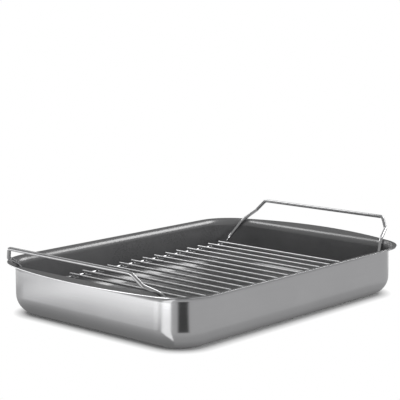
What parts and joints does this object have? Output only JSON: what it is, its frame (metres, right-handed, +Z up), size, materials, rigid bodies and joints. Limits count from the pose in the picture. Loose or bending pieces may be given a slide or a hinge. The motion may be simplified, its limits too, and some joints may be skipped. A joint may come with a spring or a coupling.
{
  "type": "roasting pan with rack",
  "caption": "Rectangular steel roasting pan with a dark non-stick lining, a turned-out rim with bowed ends, and a wire rack that lifts out by its raised bar handles.",
  "frame": {"origin": "on the table under the middle of the pan", "axes": "+Z up; +X along the pan towards the right handle; +Y across the pan, along the cross wires"},
  "size_m": [0.4108, 0.2762, 0.0793],
  "materials": {
    "stainless_steel": "satin",
    "nonstick_coating": "satin",
    "chromed_wire": "polished"
  },
  "bodies": {
    "pan": {"pan_shell": "stainless_steel", "nonstick_lining": "nonstick_coating"},
    "rack": {"front_rail": "chromed_wire", "rear_rail": "chromed_wire", "left_handle": "chromed_wire", "right_handle": "chromed_wire", "cross_wire_01": "chromed_wire", "cross_wire_02": "chromed_wire", "cross_wire_03": "chromed_wire", "cross_wire_04": "chromed_wire", "cross_wire_05": "chromed_wire", "cross_wire_06": "chromed_wire", "cross_wire_07": "chromed_wire", "cross_wire_08": "chromed_wire", "cross_wire_09": "chromed_wire", "cross_wire_10": "chromed_wire", "cross_wire_11": "chromed_wire", "cross_wire_12": "chromed_wire", "cross_wire_13": "chromed_wire", "cross_wire_14": "chromed_wire"}
  },
  "joints": [
    {"name": "rack_lift", "type": "slide", "parent": "pan", "child": "rack", "axis": [0, 0, 1], "range_m": [0, 0.08]}
  ]
}
